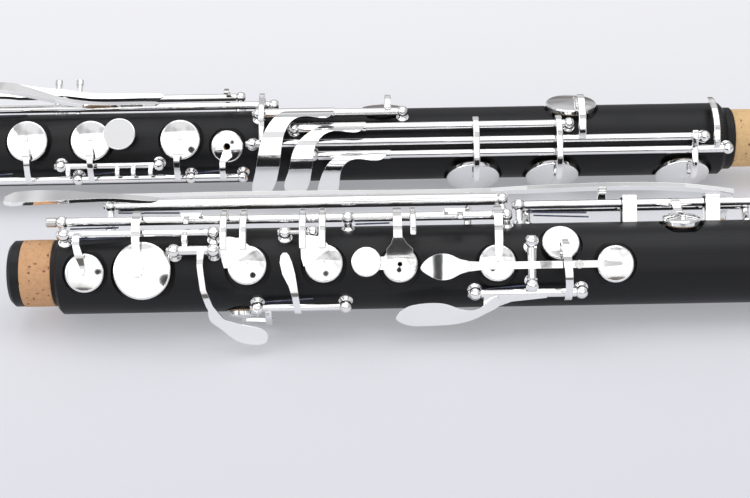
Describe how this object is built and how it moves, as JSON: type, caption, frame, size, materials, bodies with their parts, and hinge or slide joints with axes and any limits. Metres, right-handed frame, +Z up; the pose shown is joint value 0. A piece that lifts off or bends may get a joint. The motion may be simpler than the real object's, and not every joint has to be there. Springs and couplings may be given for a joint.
{
  "type": "bass clarinet body joints",
  "caption": "Upper and lower body joints of a bass clarinet lying side by side, with working plated keys, padded cups, hinge rods on ball posts and cork tenons.",
  "frame": {"origin": "On the upper joint's centre line, in the middle of its tenon cork.", "axes": "X runs along both joints from the tenon towards the neck socket of the upper joint; Y points back to the lower joint; Z is up from the table they lie on."},
  "size_m": [0.4404, 0.1888, 0.0599],
  "materials": {
    "body": "fine satin, turned",
    "cork": "raw cork",
    "pad": "smooth",
    "steel": "polished",
    "silver_plate": "mirror polished"
  },
  "bodies": {
    "upper_joint": {"upper_body": "body", "upper_tenon_cork": "cork", "upper_socket_ring": "silver_plate", "upper_posts": "silver_plate", "upper_hinge_rods": "steel", "upper_springs": "steel", "register_guides": "silver_plate"},
    "lower_joint": {"lower_body": "body", "lower_tenon_cork": "cork", "lower_socket_ring": "silver_plate", "lower_posts": "silver_plate", "lower_hinge_rods": "steel", "lower_springs": "steel"},
    "low_vent_key_body": {"low_vent_key": "silver_plate", "low_vent_pad": "pad"},
    "c_sharp_key_body": {"c_sharp_key": "silver_plate", "c_sharp_pad": "pad"},
    "left_ring_finger_key_body": {"left_ring_finger_key": "silver_plate", "left_ring_finger_pad": "pad"},
    "left_middle_finger_key_body": {"left_middle_finger_key": "silver_plate", "left_middle_finger_pad": "pad"},
    "left_index_key_body": {"left_index_key": "silver_plate", "left_index_pad": "pad"},
    "throat_vent_key_body": {"throat_vent_key": "silver_plate", "throat_vent_pad": "pad"},
    "c_sharp_lever_body": {"c_sharp_lever": "silver_plate"},
    "throat_a_key_body": {"throat_a_key": "silver_plate", "throat_a_pad": "pad", "a_adjusting_screw": "steel"},
    "throat_g_sharp_key_body": {"throat_g_sharp_key": "silver_plate", "throat_g_sharp_pad": "pad"},
    "sliver_key_body": {"sliver_key": "silver_plate", "sliver_pad": "pad"},
    "register_key_body": {"register_key": "silver_plate", "register_pad": "pad"},
    "trill_key_body": {"trill_key": "silver_plate", "trill_pad": "pad"},
    "back_trill_key_body": {"back_trill_key": "silver_plate", "back_trill_pad": "pad"},
    "b_vent_key_body": {"b_vent_key": "silver_plate", "b_vent_pad": "pad"},
    "right_index_key_body": {"right_index_key": "silver_plate", "right_index_pad": "pad"},
    "right_middle_finger_key_body": {"right_middle_finger_key": "silver_plate", "right_middle_finger_pad": "pad"},
    "right_ring_finger_key_body": {"right_ring_finger_key": "silver_plate", "right_ring_finger_pad": "pad"},
    "bridge_key_body": {"bridge_key": "silver_plate"},
    "a_flat_key_body": {"a_flat_key": "silver_plate", "a_flat_pad": "pad", "a_flat_bumper": "cork"},
    "f_key_body": {"f_key": "silver_plate", "f_pad": "pad", "f_bumper": "cork"},
    "f_sharp_key_body": {"f_sharp_key": "silver_plate", "f_sharp_pad": "pad"},
    "e_key_body": {"e_key": "silver_plate", "e_pad": "pad"},
    "left_f_sharp_lever_body": {"left_f_sharp_lever": "silver_plate"},
    "left_e_lever_body": {"left_e_lever": "silver_plate"}
  },
  "joints": [
    {"name": "lower_joint_lift", "type": "slide", "parent": "upper_joint", "child": "lower_joint", "axis": [0, 0, 1], "range_m": [0, 0.08]},
    {"name": "low_vent_key_hinge", "type": "hinge", "parent": "upper_joint", "child": "low_vent_key_body", "pos_m": [0.0459, -0.00652, 0.0227], "axis": [1, 0, 0], "range_deg": [-5.5, 0]},
    {"name": "c_sharp_key_hinge", "type": "hinge", "parent": "upper_joint", "child": "c_sharp_key_body", "pos_m": [0.108, 0.00182, 0.02435], "axis": [1, 0, 0], "range_deg": [0, 5.5]},
    {"name": "left_ring_finger_key_hinge", "type": "hinge", "parent": "upper_joint", "child": "left_ring_finger_key_body", "pos_m": [0.108, 0.00182, 0.02435], "axis": [1, 0, 0], "range_deg": [0, 5.5]},
    {"name": "left_middle_finger_key_hinge", "type": "hinge", "parent": "upper_joint", "child": "left_middle_finger_key_body", "pos_m": [0.108, 0.00182, 0.02435], "axis": [1, 0, 0], "range_deg": [0, 5.5]},
    {"name": "left_index_key_hinge", "type": "hinge", "parent": "upper_joint", "child": "left_index_key_body", "pos_m": [0.108, 0.00182, 0.02435], "axis": [1, 0, 0], "range_deg": [0, 5.5]},
    {"name": "throat_vent_key_hinge", "type": "hinge", "parent": "upper_joint", "child": "throat_vent_key_body", "pos_m": [0.108, 0.00182, 0.02435], "axis": [1, 0, 0], "range_deg": [0, 5.5]},
    {"name": "c_sharp_lever_hinge", "type": "hinge", "parent": "upper_joint", "child": "c_sharp_lever_body", "pos_m": [0.0699, -0.015, 0.01882], "axis": [1, 0, 0], "range_deg": [0, 5]},
    {"name": "throat_a_key_hinge", "type": "hinge", "parent": "upper_joint", "child": "throat_a_key_body", "pos_m": [0.2136, -0.01994, 0.01267], "axis": [0, 0.5, 0.866], "range_deg": [-3, 0]},
    {"name": "throat_g_sharp_key_hinge", "type": "hinge", "parent": "upper_joint", "child": "throat_g_sharp_key_body", "pos_m": [0.21235, -0.02256, -0.00048], "axis": [1, 0, 0], "range_deg": [0, 5]},
    {"name": "sliver_key_hinge", "type": "hinge", "parent": "upper_joint", "child": "sliver_key_body", "pos_m": [0.1151, -0.02166, -0.00632], "axis": [1, 0, 0], "range_deg": [-5, 0]},
    {"name": "register_key_hinge", "type": "hinge", "parent": "upper_joint", "child": "register_key_body", "pos_m": [0.2651, 0.0158, 0.02136], "axis": [1, 0, 0], "range_deg": [-8, 0]},
    {"name": "trill_key_hinge", "type": "hinge", "parent": "upper_joint", "child": "trill_key_body", "pos_m": [0.1173, 0.0146, 0.02529], "axis": [1, 0, 0], "range_deg": [0, 5]},
    {"name": "back_trill_key_hinge", "type": "hinge", "parent": "upper_joint", "child": "back_trill_key_body", "pos_m": [0.2641, 0.02253, 0.01577], "axis": [1, 0, 0], "range_deg": [0, 5]},
    {"name": "b_vent_key_hinge", "type": "hinge", "parent": "lower_joint", "child": "b_vent_key_body", "pos_m": [0.0122, 0.10173, -0.00597], "axis": [1, 0, 0], "range_deg": [-6, 0]},
    {"name": "right_index_key_hinge", "type": "hinge", "parent": "lower_joint", "child": "right_index_key_body", "pos_m": [0.0122, 0.10173, -0.00597], "axis": [1, 0, 0], "range_deg": [-6, 0]},
    {"name": "right_middle_finger_key_hinge", "type": "hinge", "parent": "lower_joint", "child": "right_middle_finger_key_body", "pos_m": [0.0122, 0.10173, -0.00597], "axis": [1, 0, 0], "range_deg": [-6, 0]},
    {"name": "right_ring_finger_key_hinge", "type": "hinge", "parent": "lower_joint", "child": "right_ring_finger_key_body", "pos_m": [0.0122, 0.10173, -0.00597], "axis": [1, 0, 0], "range_deg": [-6, 0]},
    {"name": "bridge_key_hinge", "type": "hinge", "parent": "lower_joint", "child": "bridge_key_body", "pos_m": [0.01505, 0.10187, 0.00146], "axis": [1, 0, 0], "range_deg": [0, 6]},
    {"name": "a_flat_key_hinge", "type": "hinge", "parent": "lower_joint", "child": "a_flat_key_body", "pos_m": [0.1259, 0.11626, 0.02179], "axis": [1, 0, 0], "range_deg": [0, 5]},
    {"name": "f_key_hinge", "type": "hinge", "parent": "lower_joint", "child": "f_key_body", "pos_m": [0.17635, 0.10863, 0.01718], "axis": [1, 0, 0], "range_deg": [0, 5]},
    {"name": "f_sharp_key_hinge", "type": "hinge", "parent": "lower_joint", "child": "f_sharp_key_body", "pos_m": [0.19955, 0.10371, 0.01125], "axis": [1, 0, 0], "range_deg": [-4.5, 0]},
    {"name": "e_key_hinge", "type": "hinge", "parent": "lower_joint", "child": "e_key_body", "pos_m": [0.2206, 0.10139, 0.00543], "axis": [1, 0, 0], "range_deg": [0, 6]},
    {"name": "left_f_sharp_lever_hinge", "type": "hinge", "parent": "lower_joint", "child": "left_f_sharp_lever_body", "pos_m": [0.0211, 0.12556, 0.02235], "axis": [1, 0, 0], "range_deg": [0, 4.5]},
    {"name": "left_e_lever_hinge", "type": "hinge", "parent": "lower_joint", "child": "left_e_lever_body", "pos_m": [0.0331, 0.14084, 0.02007], "axis": [1, 0, 0], "range_deg": [0, 4]}
  ],
  "couplings": [
    {"joint": "low_vent_key_hinge", "follows": "c_sharp_lever_hinge", "ratio": -1.1},
    {"joint": "c_sharp_key_hinge", "follows": "left_ring_finger_key_hinge", "ratio": 1},
    {"joint": "throat_vent_key_hinge", "follows": "left_index_key_hinge", "ratio": 1},
    {"joint": "b_vent_key_hinge", "follows": "right_index_key_hinge", "ratio": 1},
    {"joint": "f_sharp_key_hinge", "follows": "left_f_sharp_lever_hinge", "ratio": -1}
  ]
}
